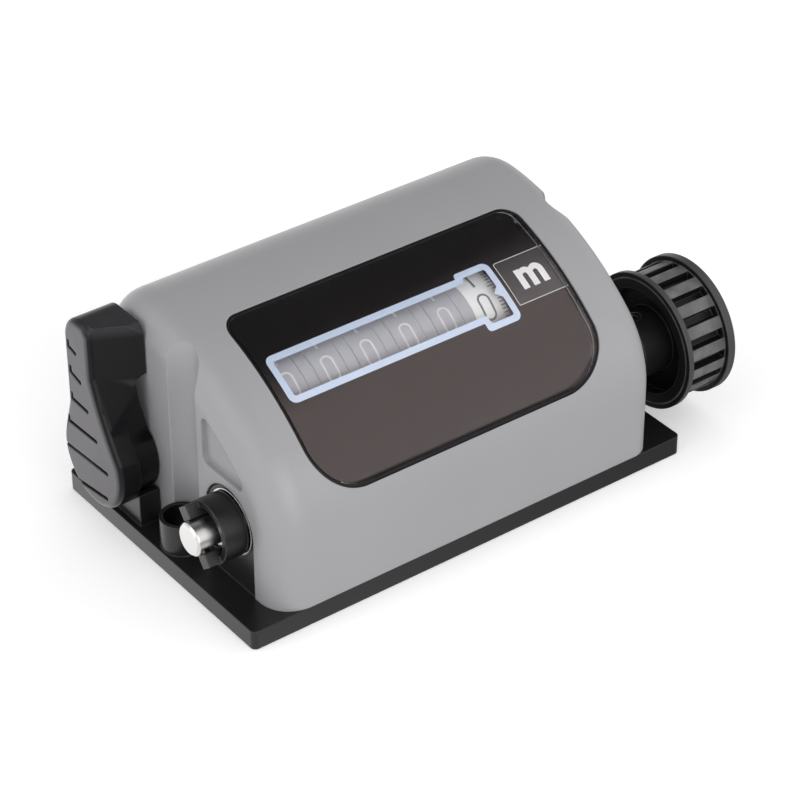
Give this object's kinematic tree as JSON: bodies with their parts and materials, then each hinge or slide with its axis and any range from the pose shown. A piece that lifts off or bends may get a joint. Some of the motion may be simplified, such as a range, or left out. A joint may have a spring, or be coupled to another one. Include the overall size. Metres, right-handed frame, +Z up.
{
  "type": "cable length counter",
  "caption": "Desk-mounted length counter: sloped moulded cover with smoked window over geared number wheels, toothed drive pulley at one side and a reset lever at the other.",
  "frame": {"origin": "centre of the base plate's underside", "axes": "+X along the number wheels and the drive shaft towards the pulley, +Y from the display side to the back, +Z up from the underside"},
  "size_m": [0.1264, 0.066, 0.0519],
  "materials": {
    "black_plastic": "fine satin",
    "grey_cover": "satin",
    "smoked_lens": "polished",
    "seal_rubber": "matte",
    "mask_black": "matte",
    "steel": "brushed",
    "bright_steel": "ground",
    "brass": "machined",
    "wheel_silver": "satin",
    "wheel_white": "satin",
    "pinion_plastic": "natural",
    "pulley_black": "black anodised"
  },
  "bodies": {
    "chassis": {"base_plate": "black_plastic", "cover": "grey_cover", "lens": "smoked_lens", "lens_seal": "seal_rubber", "display_mask": "mask_black", "frame_left": "steel", "frame_right": "steel", "tie_rods": "steel", "frame_screws": "steel", "cover_screws": "steel", "bearing_left": "bright_steel", "bearing_right": "bright_steel", "pinion_shaft": "bright_steel", "reset_spring": "steel"},
    "drive": {"drive_shaft": "bright_steel", "drive_gear": "brass", "drive_clips": "steel", "coupling_sleeve": "black_plastic", "drive_pulley": "pulley_black", "pulley_grub_screw": "steel"},
    "arbor": {"wheel_shaft": "bright_steel", "wheel_spacer": "pinion_plastic", "reset_pinion": "brass"},
    "reset": {"reset_lever": "black_plastic", "reset_shaft": "bright_steel", "reset_sector": "brass"},
    "wheel_1": {"number_wheel_1": "wheel_white"},
    "wheel_2": {"number_wheel_2": "wheel_silver"},
    "wheel_3": {"number_wheel_3": "wheel_silver"},
    "wheel_4": {"number_wheel_4": "wheel_silver"},
    "wheel_5": {"number_wheel_5": "wheel_silver"},
    "wheel_6": {"number_wheel_6": "wheel_silver"},
    "pinion_1": {"transfer_pinion_1": "pinion_plastic"},
    "pinion_2": {"transfer_pinion_2": "pinion_plastic"},
    "pinion_3": {"transfer_pinion_3": "pinion_plastic"},
    "pinion_4": {"transfer_pinion_4": "pinion_plastic"},
    "pinion_5": {"transfer_pinion_5": "pinion_plastic"}
  },
  "joints": [
    {"name": "drive_spin", "type": "hinge", "parent": "chassis", "child": "drive", "pos_m": [0, -0.0165, 0.01775], "axis": [1, 0, 0], "continuous": true},
    {"name": "wheel_1_spin", "type": "hinge", "parent": "chassis", "child": "wheel_1", "pos_m": [0, -0.00532, 0.03039], "axis": [1, 0, 0], "continuous": true},
    {"name": "wheel_2_spin", "type": "hinge", "parent": "chassis", "child": "wheel_2", "pos_m": [0, -0.00532, 0.03039], "axis": [1, 0, 0], "continuous": true},
    {"name": "wheel_3_spin", "type": "hinge", "parent": "chassis", "child": "wheel_3", "pos_m": [0, -0.00532, 0.03039], "axis": [1, 0, 0], "continuous": true},
    {"name": "wheel_4_spin", "type": "hinge", "parent": "chassis", "child": "wheel_4", "pos_m": [0, -0.00532, 0.03039], "axis": [1, 0, 0], "continuous": true},
    {"name": "wheel_5_spin", "type": "hinge", "parent": "chassis", "child": "wheel_5", "pos_m": [0, -0.00532, 0.03039], "axis": [1, 0, 0], "continuous": true},
    {"name": "wheel_6_spin", "type": "hinge", "parent": "chassis", "child": "wheel_6", "pos_m": [0, -0.00532, 0.03039], "axis": [1, 0, 0], "continuous": true},
    {"name": "pinion_1_spin", "type": "hinge", "parent": "chassis", "child": "pinion_1", "pos_m": [0, 0.00846, 0.03682], "axis": [1, 0, 0], "continuous": true},
    {"name": "pinion_2_spin", "type": "hinge", "parent": "chassis", "child": "pinion_2", "pos_m": [0, 0.00846, 0.03682], "axis": [1, 0, 0], "continuous": true},
    {"name": "pinion_3_spin", "type": "hinge", "parent": "chassis", "child": "pinion_3", "pos_m": [0, 0.00846, 0.03682], "axis": [1, 0, 0], "continuous": true},
    {"name": "pinion_4_spin", "type": "hinge", "parent": "chassis", "child": "pinion_4", "pos_m": [0, 0.00846, 0.03682], "axis": [1, 0, 0], "continuous": true},
    {"name": "pinion_5_spin", "type": "hinge", "parent": "chassis", "child": "pinion_5", "pos_m": [0, 0.00846, 0.03682], "axis": [1, 0, 0], "continuous": true},
    {"name": "reset_lever_swing", "type": "hinge", "parent": "chassis", "child": "reset", "pos_m": [0, 0.01654, 0.01772], "axis": [1, 0, 0], "range_deg": [0, 60], "stiffness_Nm_per_rad": 0.012, "springref_deg": -20.05},
    {"name": "arbor_turn", "type": "hinge", "parent": "chassis", "child": "arbor", "pos_m": [0, -0.00532, 0.03039], "axis": [1, 0, 0], "range_deg": [-360, 0]}
  ],
  "couplings": [
    {"joint": "wheel_1_spin", "follows": "drive_spin", "ratio": -1},
    {"joint": "wheel_2_spin", "follows": "drive_spin", "ratio": -0.1},
    {"joint": "wheel_3_spin", "follows": "drive_spin", "ratio": -0.01},
    {"joint": "wheel_4_spin", "follows": "drive_spin", "ratio": -0.001},
    {"joint": "wheel_5_spin", "follows": "drive_spin", "ratio": -0.0001},
    {"joint": "wheel_6_spin", "follows": "drive_spin", "ratio": -0.00001},
    {"joint": "pinion_1_spin", "follows": "drive_spin", "ratio": 0.25},
    {"joint": "pinion_2_spin", "follows": "drive_spin", "ratio": 0.025},
    {"joint": "pinion_3_spin", "follows": "drive_spin", "ratio": 0.0025},
    {"joint": "pinion_4_spin", "follows": "drive_spin", "ratio": 0.00025},
    {"joint": "pinion_5_spin", "follows": "drive_spin", "ratio": 0.000025},
    {"joint": "arbor_turn", "follows": "reset_lever_swing", "ratio": -6}
  ]
}
